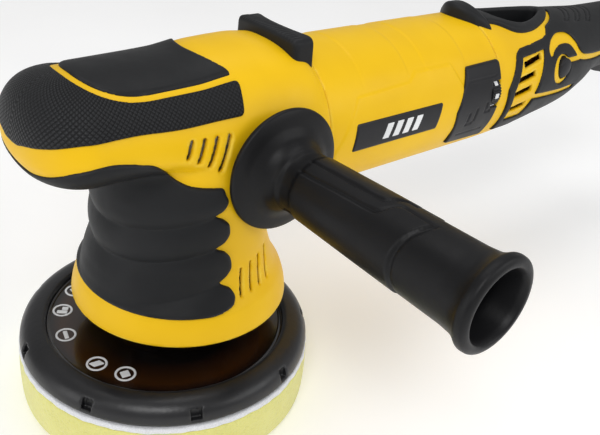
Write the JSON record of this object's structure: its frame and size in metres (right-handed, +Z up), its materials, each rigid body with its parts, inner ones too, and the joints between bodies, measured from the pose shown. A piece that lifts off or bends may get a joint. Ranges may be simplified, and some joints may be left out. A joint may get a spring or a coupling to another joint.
{
  "type": "dual action polisher",
  "caption": "Long-throw dual action polisher with a foam pad on an orbiting plate, a bevel gear head, a barrel motor, a rear trigger handle and a screw-in side handle.",
  "frame": {"origin": "point where the drive spindle's axis meets the pad's working face", "axes": "+Z up along the drive spindle, +X from the spindle along the motor to the rear handle, the side handle leaves along -Y"},
  "size_m": [0.5137, 0.244, 0.188],
  "materials": {
    "yellow_shell": "fine moulded texture",
    "black_rubber": "soft-touch overmould",
    "black_plastic": "satin",
    "gloss_black": "polished",
    "pad_foam": "open-cell foam",
    "loop_white": "brushed loop",
    "hook_black": "moulded hooks",
    "cast_aluminium": "as cast",
    "steel": "machined",
    "dark_steel": "phosphated",
    "laminations": "stacked sheet",
    "copper": "enamelled wire",
    "carbon": "sintered",
    "brass": "drawn",
    "board_green": "solder mask"
  },
  "bodies": {
    "root": {"gear_case": "cast_aluminium", "spindle_bearings": "steel", "bearing_plate": "cast_aluminium", "motor_bearings": "steel", "gear_case_screws": "steel", "bearing_retainer": "steel", "air_baffle": "black_plastic", "stator_core": "laminations", "stator_windings": "copper", "carbon_brushes": "carbon", "brush_holders": "brass", "brush_springs": "steel", "bearing_bridge": "black_plastic", "head_shell": "yellow_shell", "neck_skirt": "yellow_shell", "ribbed_boot": "black_rubber", "nose_grip": "black_rubber", "top_pad": "black_rubber", "front_bumper": "black_rubber", "motor_housing": "yellow_shell", "rear_bumper": "black_rubber", "name_plates": "black_plastic", "side_cover_left": "black_plastic", "side_cover_right": "black_plastic", "rear_housing_left": "yellow_shell", "rear_housing_right": "yellow_shell", "handle_grip": "black_rubber", "recess_trim": "black_rubber", "housing_screws": "steel", "speed_control": "board_green", "switch_body": "black_plastic", "trigger_pin": "steel", "trigger_spring": "steel", "cable_inlet": "black_plastic"},
    "pad": {"foam_pad": "pad_foam", "loop_backing": "loop_white", "hook_sheet": "hook_black", "plate_rim": "black_rubber", "plate_disc": "gloss_black", "pad_spindle": "steel", "plate_bolt": "steel"},
    "eccentric": {"eccentric_carrier": "dark_steel", "counterweight": "dark_steel", "counterweight_pins": "steel", "pad_bearings": "steel", "pad_bearing_circlip": "steel", "drive_spindle": "steel", "bevel_gear": "steel", "gear_nut": "steel"},
    "armature": {"armature_shaft": "steel", "armature_core": "laminations", "armature_windings": "copper", "commutator": "brass", "cooling_fan": "black_plastic", "bevel_pinion": "steel"},
    "trigger": {"trigger": "black_plastic"},
    "lock_button": {"lock_button": "black_plastic"},
    "speed_dial": {"speed_dial": "black_plastic"},
    "side_handle": {"side_handle_grip": "black_plastic", "side_handle_stud": "steel"}
  },
  "joints": [
    {"name": "armature_spin", "type": "hinge", "parent": "root", "child": "armature", "pos_m": [0.1, 0, 0.138], "axis": [1, 0, 0], "continuous": true},
    {"name": "spindle_spin", "type": "hinge", "parent": "root", "child": "eccentric", "pos_m": [0, 0, 0.1], "axis": [0, 0, 1], "continuous": true},
    {"name": "pad_spin", "type": "hinge", "parent": "eccentric", "child": "pad", "pos_m": [-0.0075, 0, 0.06], "axis": [0, 0, 1], "continuous": true},
    {"name": "trigger_pull", "type": "hinge", "parent": "root", "child": "trigger", "pos_m": [0.352, 0, 0.131], "axis": [0, -1, 0], "range_deg": [0, 8], "stiffness_Nm_per_rad": 0.6, "springref_deg": -6.88, "deforming": ["trigger_spring"]},
    {"name": "lock_press", "type": "slide", "parent": "root", "child": "lock_button", "axis": [0, 1, 0], "range_m": [0, 0.003], "stiffness_N_per_m": 600, "springref_m": -0.002},
    {"name": "speed_turn", "type": "hinge", "parent": "root", "child": "speed_dial", "pos_m": [0.188, -0.0322, 0.142], "axis": [1, 0, 0], "range_deg": [0, 270]},
    {"name": "side_handle_turn", "type": "hinge", "parent": "root", "child": "side_handle", "pos_m": [0.0255, -0.1, 0.1355], "axis": [0, -1, 0], "continuous": true}
  ],
  "couplings": [
    {"joint": "spindle_spin", "follows": "armature_spin", "ratio": 0.25}
  ]
}
